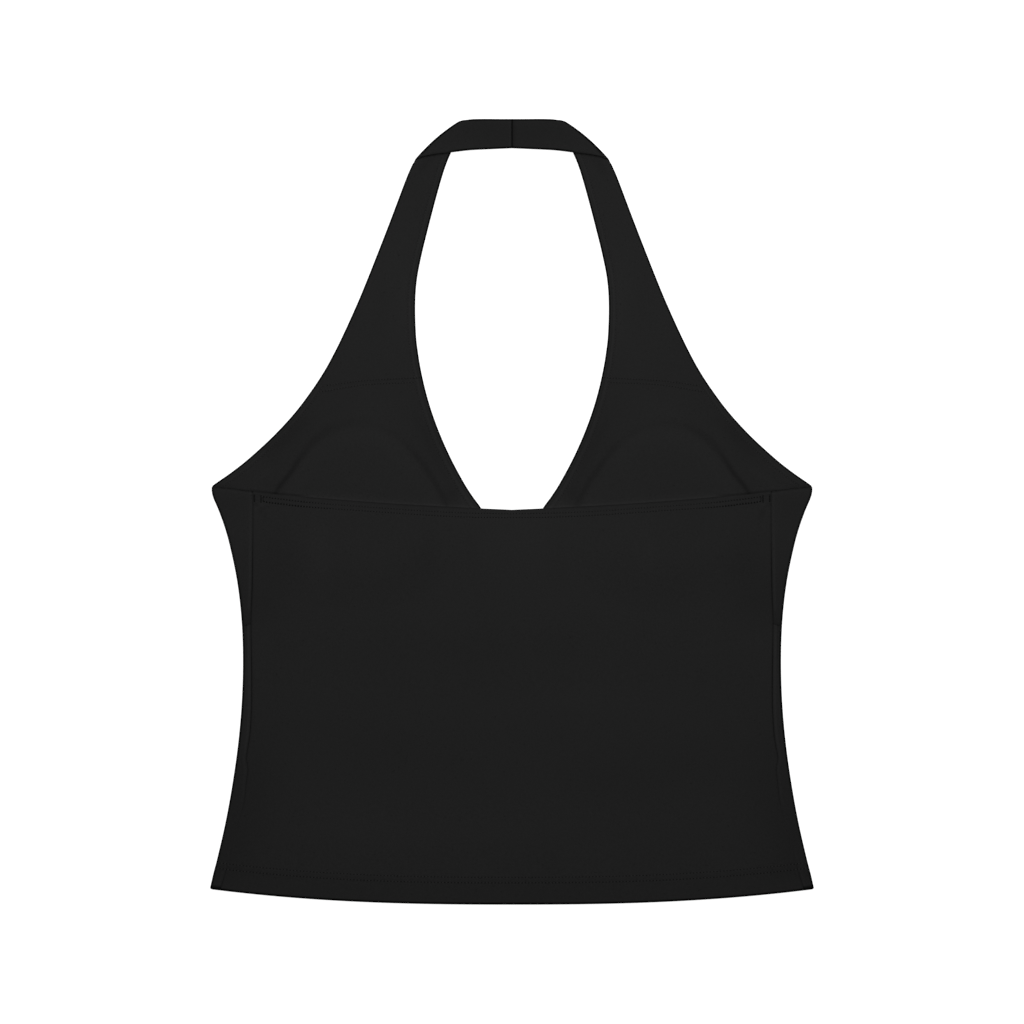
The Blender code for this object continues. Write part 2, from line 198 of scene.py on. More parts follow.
def edge_stretch(table, place):
    """How much longer a step across an edge is along X than at right angles to the edge."""
    step = 0.2
    low, high = table[0][0], table[-1][0]
    before, after = np.clip(place - step, low, high - step), np.clip(place + step, low + step, high)
    slope = (read(table, after) - read(table, before)) / (after - before)
    return np.sqrt(1 + slope * slope)


def hem_y(x):
    return -HALF_LENGTH + HEM_RISE * (np.abs(x) / HALF_WIDTH) ** HEM_POWER


def back_top_y(x):
    return read(BACK_TOP_EDGE, np.abs(x))


def back_level(y):
    return (BACK_WAIST_Z + (BACK_HEM_Z - BACK_WAIST_Z) * (1 - ramp(y, *HEM_SLOPE))
            + (BACK_BUST_Z - BACK_WAIST_Z) * ramp(y, *BUST_SLOPE))


def pad_edge(angle):
    """A pad's radius: round, with three soft corners, one of them at the top."""
    return PAD_RADIUS * (1 + PAD_CORNER * np.cos(3 * (angle - math.pi / 2)))


def pad_place(x, y):
    """Distance inside the nearer pad's outline, negative outside it, and the angle round the pad."""
    across, along = np.abs(x) - PAD_CENTRE[0], y - PAD_CENTRE[1]
    angle = np.arctan2(along, across)
    return pad_edge(angle) - np.hypot(across, along), angle


def pad_rise(x, y):
    return PAD_RISE * ramp(pad_place(x, y)[0], *PAD_SLOPE)


def steps(start, end, spacing):
    """Evenly spaced places from start to end, both included."""
    return np.linspace(start, end, max(2, int(abs(end - start) / spacing) + 1))


# ---------------- creases and tone

BACK_CREASES = (  # start, middle, end, depth (a negative one is a ridge), width
    ((-163, 5), (-158, 3), (-155, -6), 0.30, 1.3),
    ((-163, 1), (-159, 4), (-156, 7), -0.35, 0.9),
    ((163, 5), (158, 2), (156, -7), 0.28, 1.4),
    ((163, 0), (159, 4), (156, 7), -0.30, 0.9),
    ((-150, -8), (-146, -30), (-149, -62), 0.07, 9.0),
    ((-122, -6), (-124, -30), (-120, -56), -0.14, 9.0),
    ((-52, -8), (-50, -24), (-55, -46), 0.08, 6.0),
    ((-28, -8), (-24, -22), (-26, -40), 0.07, 5.0),
    ((30, -8), (27, -28), (30, -48), 0.07, 6.0),
    ((84, -8), (88, -26), (84, -44), -0.09, 7.0),
    ((149, -8), (146, -34), (150, -66), 0.08, 9.0),
    ((-110, -80), (-30, -94), (60, -84), 0.06, 12.0),
    ((-150, -120), (-90, -160), (-20, -150), 0.08, 16.0),
    ((-40, -128), (30, -112), (90, -124), -0.06, 9.0),
    ((20, -170), (90, -176), (150, -150), 0.07, 15.0),
    ((-140, -196), (-60, -206), (30, -200), -0.06, 10.0))
STRAP_CREASES = (
    ((-51, 224), (-55, 219), (-59, 214), 0.20, 2.4),
    ((51, 224), (56, 219), (60, 213), 0.18, 2.6),
    ((-84, 150), (-80, 128), (-86, 108), 0.08, 6.0),
    ((-66, 160), (-69, 130), (-67, 104), -0.07, 4.0),
    ((66, 162), (69, 130), (67, 100), -0.07, 4.0),
    ((86, 158), (80, 132), (84, 112), 0.08, 6.5))
LINING_CREASES = (
    ((-62, 62), (-50, 40), (-36, 10), 0.14, 3.0),
    ((62, 62), (50, 39), (36, 10), 0.14, 3.0),
    ((-128, 62), (-140, 48), (-158, 33), 0.21, 4.5),
    ((128, 62), (141, 48), (158, 32), 0.20, 4.5),
    ((-150, 28), (-157, 22), (-165, 19), -0.12, 2.5),
    ((150, 28), (158, 22), (166, 18), -0.12, 2.5),
    ((-110, 70), (-90, 62), (-70, 68), -0.05, 6.0),
    ((110, 70), (92, 61), (72, 68), -0.05, 6.0))
FRONT_CREASES = (  # the hidden side's: all press into the top, away from what it lies on
    ((-150, -6), (-146, -30), (-151, -60), 0.22, 7.0),
    ((-118, -14), (-124, -34), (-116, -64), 0.14, 8.0),
    ((40, -30), (52, -44), (48, -66), 0.12, 6.0),
    ((146, -10), (142, -34), (150, -66), 0.24, 7.0),
    ((-146, -124), (-80, -156), (-14, -148), 0.16, 12.0),
    ((30, -176), (96, -180), (150, -156), 0.14, 11.0),
    ((-60, -92), (0, -84), (70, -95), 0.10, 8.0))
CREASE_PAINTED_SHADE = 0.5  # painted shade in creases: how much darker a millimetre of depth makes the cloth's colour
CREASE_STEPS, CREASE_ENDS = 25, 0.6  # points along a crease, and how slowly it fades at its ends

SOFT_TONES = (  # broad shading of both halves: (half width, y, reach along x, reach along y, share)
    (0, -8, 62, 26, 0.07), (0, -70, 170, 90, 0.03), (78, 130, 30, 60, 0.06), (0, 240, 48, 12, -0.14),
    (54, 30, 12, 30, -0.05), (150, 40, 16, 22, -0.04), (152, 11, 13, 5, -0.08),
    (38, 11, 5, 6, -0.10), (29, 9, 4, 5, 0.08), (177, 5, 12, 9, -0.06))

SIDE_SHADE = (  # how much darker the body is at its side edges, along Y
    (-248, 0.0), (-238, 0.02), (-226, 0.13), (-182, 0.155), (-150, 0.09), (-125, 0.03), (-90, 0.0),
    (-76, 0.02), (-58, 0.12), (-38, 0.08), (-10, 0.02), (30, 0.0))
SIDE_SHADE_REACH = 28.0

# Stripes inside a turned and topstitched edge, from the edge and from the stitches: the LIGHT and SHADE
# ones are painted highlight and painted shade, PUFF and STITCH_GROOVE are heights; a negative strength is
# darker or lower
EDGE_LIGHT, EDGE_SHADE = (0.1, 1.5, 0.35), (-0.15, 2.2, 0.4)
PUFF_LIGHT, STITCH_SHADE = (0.13, -1.4, 1.0), (-0.06, 0.0, 0.6)
PUFF, STITCH_GROOVE = (0.2, -1.8, 1.1), (-0.15, 0.0, 0.6)
EDGE_CLOSING, EDGE_CLOSING_REACH = 0.5, 1.6
HEM_SHADE, HEM_SHADE_FADE = 0.06, 2.0


def creases_at(x, y, creases):
    """Depth of the cloth's soft troughs at points; each fades at its ends."""
    total = np.zeros(np.shape(x))
    parts = np.linspace(0.0, 1.0, CREASE_STEPS)
    for start, middle, end, depth, width in creases:
        a, b, c = (np.array(point, float) for point in (start, middle, end))
        path = (np.outer((1 - parts) ** 2, a) + np.outer(2 * parts * (1 - parts), b)
                + np.outer(parts ** 2, c))
        gaps = np.hypot(x[..., None] - path[:, 0], y[..., None] - path[:, 1])
        strength = np.sin(math.pi * np.clip(parts[gaps.argmin(axis=-1)], 0.02, 0.98)) ** CREASE_ENDS
        total += depth * strength * line(gaps.min(axis=-1), width)
    return total


# Painted light and shade: the broad soft tones, and the painted shade at the body's side edges
def soft_painted_shading(x, y):
    tone = np.ones(np.shape(x))
    for centre_x, centre_y, reach_x, reach_y, share in SOFT_TONES:
        tone *= 1 + share * line(np.abs(x) - centre_x, reach_x) * line(y - centre_y, reach_y)
    return tone * (1 - read(SIDE_SHADE, y) * line(read(SIDE_EDGE, y) - np.abs(x), SIDE_SHADE_REACH))


# Painted shade: the colour darkened within a reach of an edge
def painted_edge_shade(distance, share=EDGE_PAINTED_SHADE, reach=EDGE_DARK_REACH):
    return 1 - share * (1 - ramp(distance, reach, EDGE_FADE))


def hem_painted_shade(rise):
    """Painted shade above the hem's edge: dark at the edge, then a little darker up to the upper stitches.
    """
    return (painted_edge_shade(rise - WALL / 2, HEM_DARK, HEM_DARK_REACH)
            * (1 - HEM_SHADE * smooth((HEM_STITCHES[1] - rise) / HEM_SHADE_FADE)))


def turned_edge_painted_shading(distance, stitches):
    """Painted light and shade beside a turned and topstitched edge: a puffed strip with a painted highlight
    inside its painted dark edge.
    """
    return (painted_edge_shade(distance) * (1 + stripe(distance - stitches, PUFF_LIGHT))
            * (1 + stripe(distance, EDGE_LIGHT)) * (1 + stripe(distance, EDGE_SHADE))
            * (1 + stripe(distance - stitches, STITCH_SHADE)))


def closing(distance):
    """How near a turned edge's layers come together: 1 at the edge, 0 a little inside it."""
    return np.clip(1 - distance / EDGE_CLOSING_REACH, 0, 1) ** 2


def turned_edge_height(distance, stitches):
    """The turned edge's layers come together at the edge, puff up inside it and sink at the stitches."""
    return (stripe(distance - stitches, PUFF) + stripe(distance - stitches, STITCH_GROOVE)
            - EDGE_CLOSING * closing(distance))


# ---------------- meshes

def columns_between(inner, outer, stretch_in, stretch_out, lines, count):
    """X places of every row's columns: lines near both ends, and count even steps between them."""
    left = inner[:, None] + np.outer(stretch_in, lines)
    right = outer[:, None] - np.outer(stretch_out, lines[::-1])
    parts = np.linspace(0, 1, count + 1)[1:-1]
    middle = left[:, -1:] + (right[:, :1] - left[:, -1:]) * parts
    return np.concatenate([left, middle, right], axis=1)


def running(points, axis):
    """Length along the grid's rows or columns, up to each point."""
    gaps = np.linalg.norm(np.diff(points, axis=axis), axis=2)
    start = np.zeros_like(np.take(gaps, [0], axis=axis))
    return np.concatenate([start, np.cumsum(gaps, axis=axis)], axis=axis)


def weld(patches):
    """Points, their painted shading, and faces with cut places, of patches welded where their points agree.
    """
    points, uvs, painted_shadings, quads, first = [], [], [], [], 0
    for grid, u, v, tone in patches:
        rows, cols = grid.shape[:2]
        ids = first + np.arange(rows * cols).reshape(rows, cols)
        quads.append(np.stack([ids[:-1, :-1], ids[:-1, 1:], ids[1:, 1:], ids[1:, :-1]], -1).reshape(-1, 4))
        points.append(grid.reshape(-1, 3))
        uvs.append(np.stack([u.ravel(), v.ravel()], -1))
        painted_shadings.append(tone.ravel())
        first += rows * cols
    points, uvs, quads = np.concatenate(points), np.concatenate(uvs), np.concatenate(quads)
    _, keep, same = np.unique(np.round(points, 3), axis=0, return_index=True, return_inverse=True)
    same = same.ravel()
    faces, face_uvs = [], []
    for quad in quads:
        corners = {}
        for corner in quad:
            corners.setdefault(int(same[corner]), uvs[corner])
        if len(corners) > 2:
            faces.append(list(corners))
            face_uvs.append(list(corners.values()))
    return points[keep], np.concatenate(painted_shadings)[keep], faces, face_uvs


def point_normals(points, faces):
    """Normals at the points, and the points on the sheet's free rim."""
    normals = np.zeros_like(points)
    uses = {}
    for corners in faces:
        a, b, c = points[corners[0]], points[corners[1]], points[corners[-1]]
        direction = np.cross(points[corners[2]] - a, c - b) if len(corners) == 4 else np.cross(b - a, c - a)
        for index, corner in enumerate(corners):
            normals[corner] += direction
            edge = frozenset((corner, corners[index - 1]))
            uses[edge] = uses.get(edge, 0) + 1
    normals /= np.maximum(np.linalg.norm(normals, axis=1), 1e-12)[:, None]
    rim = sorted({corner for edge, count in uses.items() if count == 1 for corner in edge})
    return normals, rim


def make_cloth(name, patches, wall, material, rounding=None):
    """A closed shell of even wall round patches of grid points, with rounded edges.

    A patch is (points, u, v, painted shading), each a grid; the painted shading is painted light and shade
    for the cloth's colour.
    """
    points, painted_shadings, faces, face_uvs = weld(patches)
    normals, rim = point_normals(points, faces)
    tree = KDTree(len(rim))
    for corner in rim:
        tree.insert(points[corner], corner)
    tree.balance()
    inside = np.array([tree.find(point)[2] for point in points]) / (rounding or wall / 2)
    half = wall / 2 * np.sqrt(1 - (1 - np.clip(inside, 0, 1)) ** 2)

    inner = np.ones(len(points), bool)
    inner[rim] = False
    under = np.arange(len(points))
    under[inner] = len(points) + np.arange(inner.sum())
    below = (points - normals * half[:, None])[inner]
    all_points = np.concatenate([points + normals * half[:, None], below])
    all_painted_shadings = np.concatenate([painted_shadings, painted_shadings[inner]])
    all_faces = faces + [[int(under[corner]) for corner in corners[::-1]] for corners in faces]
    all_uvs = face_uvs + [places[::-1] for places in face_uvs]

    made = add_piece(name, all_points, all_faces, material)
    cut = made.data.uv_layers.new(name="cut")
    cut.data.foreach_set("uv", np.array([uv for places in all_uvs for uv in places]).ravel() * MM)
    # the painted light and shade, kept on the points for the material to multiply into the cloth's colour
    made.data.attributes.new("tone", "FLOAT", "POINT").data.foreach_set("value", all_painted_shadings)
    return made


def add_piece(name, points, faces, *materials):
    mesh = bpy.data.meshes.new(name)
    mesh.from_pydata((np.array(points) * MM).tolist(), [], faces)
    mesh.shade_smooth()
    for material in materials:
        mesh.materials.append(material)
    return add_object(name, mesh)


def add_object(name, data):
    made = bpy.data.objects.new(name, data)
    bpy.context.scene.collection.objects.link(made)
    return made


def mirrored(patches):
    """The other half of a piece, with its faces turned the right way."""
    other = []
    for grid, u, v, tone in patches:
        flipped = grid[:, ::-1].copy()
        flipped[..., 0] *= -1
        other.append((flipped, -u[:, ::-1], v[:, ::-1], tone[:, ::-1]))
    return other


# ---------------- front

FOLD_ANGLES = np.linspace(0, math.pi, 13)
SEAM_LAPS = (0.3, 0.05)  # where the side seam is hidden, and where it shows
# Stripes outside the side seam: a ridge's height, then painted highlight and painted shade
SEAM_RIDGE, SEAM_LIGHT, SEAM_SHADE = (0.5, 0.9, 0.9), (0.28, 1.5, 0.65), (-0.3, 0.0, 0.45)
WRAP_PAINTED_SHADE, WRAP_PAINTED_SHADE_END = 0.13, (5, 6)  # painted shade on the wraps just above the under-bust seam
UNDERBUST_SHADE, UNDERBUST_SKEW_REACH = (-0.25, 0.0, 0.5), 20
NECK_STRETCH_LIMIT, ARM_STRETCH_LIMIT, ARM_STRETCH_START = 1.6, 1.8, 14
BOW_START_Y = 60  # above it the bust's rows take on the strap seam's bow
BUST_LIFT = 0.4  # how far the front's edge rises towards the lining's
SIDE_FOLD_OUT = 2.5  # how far the side fold stands out past its start


def turned_under(places):
    """Lines round a turned edge, then inside it: (distance from the edge, depth under the outside)."""
    turn = [(TURN_REACH - TURN * math.sin(angle), TURN * (1 - math.cos(angle)))
            for angle in np.linspace(0, math.pi, 9)[1:]]
    return turn + [(place, LAYER) for place in places]


HEM_UNDER = turned_under((3, 6, 9, 12, 15, 17.6, HEM_DEPTH - 0.4, HEM_DEPTH - 0.2, HEM_DEPTH))
CASING_UNDER = turned_under((1.6, 3, 4.5, 6, CASING_DEPTH - 0.4, CASING_DEPTH - 0.2, CASING_DEPTH))


def fold_at(y):
    """The side fold at a place: where it starts on the front, and its radius."""
    radius = (back_level(y) - FRONT_Z) / 2
    return read(SIDE_EDGE, y) - WALL / 2 - radius, radius


def seam_x(y_at):
    """Where a row meets the side seam, found in two steps."""
    half = read(SIDE_SEAM, y_at(SEAM_TOP_X, 1.0))
    return read(SIDE_SEAM, y_at(half, 1.0))


def seam_lap(show):
    return mix(*SEAM_LAPS, show)


def wrap_points(y_at, inset):
    """From the side fold's start on the front, round it and over the back to the side seam."""
    fold_x, radius = fold_at(y_at(HALF_WIDTH, 0.0))
    reach = radius - inset
    row = []
    for angle in FOLD_ANGLES:
        x = fold_x + reach * math.sin(angle)
        row.append((x, y_at(x, 0.0), FRONT_Z + radius - reach * math.cos(angle)))
    seam = seam_x(y_at)
    show = read(SEAM_SHOW, y_at(seam, 1.0))
    end_x = seam - seam_lap(show)
    places = end_x + np.array(SEAM_LINES[::-1])
    for x in [*np.linspace(fold_x, places[0], 7)[1:-1], *places]:
        y = y_at(x, (fold_x - x) / (fold_x - end_x))
        ridge = show * stripe(x - seam, SEAM_RIDGE) * (1 - inset / LAYER)
        row.append((x, y, back_level(y) - inset + ridge))
    return row


def wrap_painted_shading(grid, under_seam_shade=0.0):
    """Painted shade as a dark outline along the side fold, and a painted highlight beside the side seam
    away from the painted shade above the under-bust seam.
    """
    x, y, z = np.moveaxis(grid, -1, 0)
    on_back = smooth(z - FRONT_Z - 0.7)
    beside = x - read(SIDE_SEAM, y)
    seam_tone = (1 - under_seam_shade) * stripe(beside, SEAM_LIGHT) + stripe(beside, SEAM_SHADE)
    return (soft_painted_shading(x, y) * painted_edge_shade(read(SIDE_EDGE, y) - WALL / 2 - x)
            * (1 - WRAP_PAINTED_SHADE * under_seam_shade) * (1 + on_back * read(SEAM_SHOW, y) * seam_tone))


def front_body():
    length = HALF_LENGTH + UNDERBUST_Y

    def between(part):
        def y_at(x, wrap):
            top = UNDERBUST_Y + UNDERBUST_SKEW * wrap + LAP
            return mix(top, hem_y(x) + TURN_REACH, part)
        return y_at

    def above_hem(rise):
        return lambda x, wrap: hem_y(x) + rise

    parts = [start / length for start in RIM + (0.9, 1.6)]
    parts += list(np.linspace(3.5 / length, 1.0, 70))
    rows = [(between(part), 0.0) for part in parts]
    rows += [(above_hem(rise), inset) for rise, inset in HEM_UNDER]
    grid = []
    for y_at, inset in rows:
        fold_x = fold_at(y_at(HALF_WIDTH, 0.0))[0]
        xs = np.linspace(0, fold_x, 60)[:-1]
        grid.append([(x, y_at(x, 0.0), FRONT_Z + inset) for x in xs] + wrap_points(y_at, inset))
    grid = np.array(grid)
    tone = wrap_painted_shading(grid) * hem_painted_shade(grid[..., 1] - hem_y(grid[..., 0]))
    return dented([(grid, running(grid, 1), running(grid, 0), tone)])


def dented(half):
    """Both halves of a front piece, with its hidden side's creases and their painted shade."""
    both = half + mirrored(half)
    for grid, _, _, tone in both:
        x, y, z = np.moveaxis(grid, -1, 0)
        depth = creases_at(x, y, FRONT_CREASES) * (1 - ramp(z, FRONT_Z + 0.1, 0.5))
        z += depth
        tone *= 1 - CREASE_PAINTED_SHADE * depth
    return both


def bust_places(spacing, low_spacing, casing_spacing):
    """Places along Y of the bust's rows at their outer end, with the finest beside the casing's edge."""
    low = UNDERBUST_Y - LAP + np.array(RIM)
    high = STRAP_SEAM_OUTER_Y + LAP - np.array(STRAP_SEAM_LINES)[::-1]
    return np.concatenate([
        low, steps(-70, NECK_POINT_Y, low_spacing)[:-1], steps(NECK_POINT_Y, 0, low_spacing)[:-1],
        steps(0, CORNER_Y, casing_spacing), steps(CORNER_Y + 0.5, high[0] - 1.0, spacing), high])


class Bust:
    """The grid shared in plan by the front bust and its lining, for the half at +X."""

    def __init__(self, places, outer_below, count):
        self.below = places <= CORNER_Y + 1e-6
        tilt = STRAP_SEAM_INNER_Y - STRAP_SEAM_OUTER_Y
        inner_y = places + tilt * ramp(places, CORNER_Y, STRAP_SEAM_OUTER_Y - CORNER_Y)
        inner_x = np.where(inner_y > NECK_POINT_Y, read(NECK_EDGE, inner_y), 0.0)
        self.outer_x = np.where(self.below, outer_below, read(ARM_EDGE, places))
        stretch_in = np.where(inner_y > NECK_POINT_Y + 1, edge_stretch(NECK_EDGE, inner_y), 1.0)
        near_arm = ramp(places, CORNER_Y - ARM_STRETCH_START, ARM_STRETCH_START)
        stretch_out = mix(1.0, edge_stretch(ARM_EDGE, np.maximum(places, CORNER_Y + 2)), near_arm)
        stretch_in = np.minimum(stretch_in, NECK_STRETCH_LIMIT)
        stretch_out = np.minimum(stretch_out, ARM_STRETCH_LIMIT)
        self.x = columns_between(inner_x, self.outer_x, stretch_in, stretch_out, EDGE_LINES, count)
        part = (self.x - inner_x[:, None]) / (self.outer_x - inner_x)[:, None]
        bow = STRAP_SEAM_BOW * ramp(places, BOW_START_Y, STRAP_SEAM_OUTER_Y - BOW_START_Y)
        self.y = mix(inner_y[:, None], places[:, None], part) + bow[:, None] * 4 * part * (1 - part)
        self.to_neck = np.where((inner_y >= NECK_POINT_Y)[:, None],
                                (self.x - inner_x[:, None]) / stretch_in[:, None], FAR)
        self.to_arm = np.where(self.below[:, None], FAR,
                               (self.outer_x[:, None] - self.x) / stretch_out[:, None])
        self.neck_stitches = read(NECK_STITCHES, self.y)
        self.u_start = inner_x[:, None]
        self.v = self.y - UNDERBUST_Y

    def tone(self):
        return (soft_painted_shading(self.x, self.y) * turned_edge_painted_shading(self.to_neck, self.neck_stitches)
                * turned_edge_painted_shading(self.to_arm, ARM_STITCHES))


def front_bust():
    places = bust_places(2.4, 5.0, 2.4)
    bust = Bust(places, np.array([fold_at(min(y, CORNER_Y))[0] for y in places]), 44)
    lift = BUST_LIFT * (closing(bust.to_neck) + closing(bust.to_arm))
    main = np.stack([bust.x, bust.y, FRONT_Z + lift], -1)
    wraps = []
    for y in places[bust.below]:
        fall = WRAP_SKEW * max(0.0, 1 - (CORNER_Y - y) / WRAP_SKEW_REACH)
        rise = UNDERBUST_SKEW * max(0.0, 1 - (y - UNDERBUST_Y) / UNDERBUST_SKEW_REACH)
        wraps.append(wrap_points(lambda x, wrap: y + rise * wrap - fall * wrap ** WRAP_SKEW_POWER, 0.0))
    wraps = np.array(wraps)
    wraps[:, 0] = main[bust.below][:, -1]
    main_u = running(main, 1) + bust.u_start
    wrap_u = running(wraps, 1) + main_u[bust.below][:, -1:]
    from_seam = wraps[..., 1] - wraps[0, :, 1]
    wraps_tone = wrap_painted_shading(wraps, 1 - ramp(from_seam, *WRAP_PAINTED_SHADE_END))
    wraps_tone *= 1 + stripe(from_seam, UNDERBUST_SHADE)
    side_dark = painted_edge_shade(bust.outer_x[:, None] + SIDE_FOLD_OUT - bust.x)
    main_tone = bust.tone() * np.where(bust.below[:, None], side_dark, 1)
    return dented([(main, main_u, bust.v, main_tone),
                   (wraps, wrap_u, wraps[..., 1] - UNDERBUST_Y, wraps_tone)])


# ---------------- lining

LINING_INSET, LINING_INSET_REACH = 1.0, 8  # at the armhole's corner; below it, it ends in the side fold
LINING_BULGE = (1.6, -1.0, 3.0)  # a stripe along the casing's edge, under it
BULGE_NECK_REACH, BULGE_END = 8, (168, 16)
CUP_LIGHT, CUP_LIGHT_RISE, CUP_LIGHT_FALL = 0.045, (1, 3), (6, 12)  # painted highlight inside the pad's edge
# painted highlight on the lining beside the casing's edge near the middle, painted shade there nearer the
# side seams
CASING_LIGHT, CASING_SHADE = (0.22, 0.35, 0.8), (-0.33, 0.5, 0.6)


def in_middle(x):
    """1 where the lining beside the casing's edge has painted light, 0 nearer the side seams."""
    return 1 - ramp(np.abs(x), BACK_TOP_MIDDLE, 12)


def lining():
    places = bust_places(1.15, 4.0, 0.45)
    low_y = np.minimum(places, CORNER_Y)
    in_fold = smooth((CORNER_Y - low_y) / LINING_INSET_REACH)
    inset = mix(LINING_INSET, (back_level(low_y) + LAYER) / 2, in_fold)
    bust = Bust(places, read(SIDE_EDGE, low_y) - inset, 96)
    inside, angle = pad_place(bust.x, bust.y)
    angle = np.degrees(np.clip(angle, 0, math.pi))
    columns = np.array(CUP_LINE).T
    strength, width, shift = (read(np.stack([columns[0], values], -1), angle) for values in columns[1:])
    cup = strength * line(inside + shift, width)
    above_casing = bust.y - back_top_y(bust.x)
    middle = in_middle(bust.x)

    bulge = (stripe(above_casing, LINING_BULGE) * smooth(bust.to_neck / BULGE_NECK_REACH)
             * (1 - ramp(bust.x, *BULGE_END)))
    heights = (LINING_Z + pad_rise(bust.x, bust.y) - CUP_GROOVE * cup + bulge
               + turned_edge_height(bust.to_neck, bust.neck_stitches)
               + turned_edge_height(bust.to_arm, ARM_STITCHES))
    within = ramp(inside, *CUP_LIGHT_RISE) * (1 - ramp(inside, *CUP_LIGHT_FALL))
    # painted shade in the cup's groove, a painted highlight inside it, and painted light and shade beside
    # the casing's edge
    tone = bust.tone() * (1 - cup) * (1 + CUP_LIGHT * within)
    tone *= 1 + middle * stripe(above_casing, CASING_LIGHT)
    tone *= 1 + (1 - middle) * stripe(above_casing, CASING_SHADE)
    patches = []
    for side in (1, -1):
        depth = creases_at(side * bust.x, bust.y, LINING_CREASES)
        grid = np.stack([bust.x, bust.y, heights - depth], -1)
        half = [(grid, running(grid, 1) + bust.u_start, bust.v, tone * (1 - CREASE_PAINTED_SHADE * depth))]
        patches += half if side == 1 else mirrored(half)
    return patches


# ---------------- back

CASING_LINES = (
    TURN_REACH, 1.3, 1.6, 1.9, 2.2, 2.6, 3.0, 3.4, 3.8, 4.3, 4.7, 5.1, 5.5, 5.9, 6.3, 6.8, 7.4, 8.2)
HEM_LINES = (
    20, 18.8, 18.1, 17.7, 17.4, 17.1, 16.7, 16.0, 15.2, 14.6, 14.2, 13.9, 13.6, 13.1, 12.2, 10.5, 9, 7.5,
    6, 4.5, 3.2, 2.4, 1.9, 1.5, TURN_REACH)
# the last of these is painted shade along the stitch rows; below, the side seam's groove, then painted
# shade beside the seam and the casing's edge
STITCH_WIDTH, STITCH_DEPTH, STITCH_PAINTED_SHADE = 0.5, 0.04, 0.02
BACK_SEAM_GROOVE, BACK_SEAM_SHADE, BACK_TOP_SHADE = (0.25, 0.0, 1.0), (-0.38, 0.0, 0.7), (-0.26, 0.6, 0.45)


def back_lines():
    """Lines across the back, from inside the casing round both turned edges to inside the hem.

    A line is the edge it keeps to, or "middle"; its place there; and its depth under the outside.
    """
    return ([("top", *row) for row in CASING_UNDER[::-1]] + [("top", drop, 0.0) for drop in CASING_LINES]
            + [("middle", part, 0.0) for part in np.linspace(0, 1, 112)[1:-1]]
            + [("hem", rise, 0.0) for rise in HEM_LINES] + [("hem", *row) for row in HEM_UNDER])


def back():
    def place(where, amount, x):
        if where == "top":
            return back_top_y(x) - amount
        if where == "hem":
            return hem_y(x) + amount
        return mix(back_top_y(x) - CASING_LINES[-1], hem_y(x) + HEM_LINES[0], amount)

    grid, insets, to_seam = [], [], []
    for where, amount, inset in back_lines():
        seam = seam_x(lambda x, wrap: place(where, amount, x))
        end = seam + seam_lap(read(SEAM_SHOW, place(where, amount, seam)))
        lines = end - np.array(SEAM_LINES)
        xs = np.concatenate([np.linspace(0, lines[-1], 70)[:-1], lines[::-1]])
        xs = np.concatenate([-xs[:0:-1], xs])
        ys = place(where, amount, xs)
        grid.append(np.stack([xs, ys, back_level(ys) + pad_rise(xs, ys) - inset], -1))
        insets.append(np.full(len(xs), inset))
        to_seam.append(seam - np.abs(xs))
    grid, outside, to_seam = np.array(grid), 1 - np.array(insets) / LAYER, np.array(to_seam)
    x, y = grid[..., 0], grid[..., 1]
    from_top, from_hem = back_top_y(x) - y, y - hem_y(x)
    show = read(SEAM_SHOW, y)
    depth = creases_at(x, y, BACK_CREASES)
    rows = sum(line(from_top - read(table, np.abs(x)), STITCH_WIDTH) for table in CASING_STITCHES)
    rows = rows + sum(line(from_hem - row, STITCH_WIDTH) for row in HEM_STITCHES)
    grid[..., 2] -= outside * (STITCH_DEPTH * rows + show * stripe(to_seam, BACK_SEAM_GROOVE) + depth)

    # painted light and shade: broad shading, creases, stitch rows, the hem, the casing's edge and the side
    # seam
    tone = soft_painted_shading(x, y) * (1 - CREASE_PAINTED_SHADE * depth) * (1 - STITCH_PAINTED_SHADE * rows) * hem_painted_shade(from_hem)
    tone *= 1 + in_middle(x) * stripe(from_top, BACK_TOP_SHADE)
    tone *= 1 + show * stripe(to_seam, BACK_SEAM_SHADE)
    grid, tone = grid[::-1], tone[::-1]
    across = running(grid, 1)
    return [(grid, across - across.max(axis=1, keepdims=True) / 2, running(grid, 0), tone)]


# ---------------- straps

FOLD_REACH = STRAP_TURN + STRAP_WALL / 2
STRAP_FAR = 9.0  # a reach inside the fold's edge where there is no fold
STRAP_STITCH_DEPTH = 0.1
FOLD_END_SHARE, FOLD_END_REACH = 0.1, 3.0  # the fold's painted shade is fainter at the band's outer end
BAND_ON_STRAP, BAND_SHADE_END = (37.5, 3.0), (48, 9)
CENTRE_SHADE, CENTRE_SHADE_REACH = 0.22, 3.4  # right of the band's seam
CENTRE_LIGHT, CENTRE_SEAM_SHADE = (0.12, 1.1, 0.6), (-0.5, 0.0, 0.5)  # left of the seam, and at it


def band_z(x):
    return STRAP_Z + BAND_LIFT + (2 * STRAP_TURN - BAND_LIFT) * ramp(np.abs(x), *BAND_SLOPE)


def resample(points, spacing):
    """Points at even spacing on a smooth curve through the given ones."""
    points = np.asarray(points, float)
    places = running(points[:, None], 0)[:, 0]
    wanted = np.linspace(0, places[-1], max(2, int(places[-1] / spacing)))
    return np.stack([read(np.stack([places, points[:, axis]], -1), wanted)
                     for axis in range(points.shape[1])], -1)


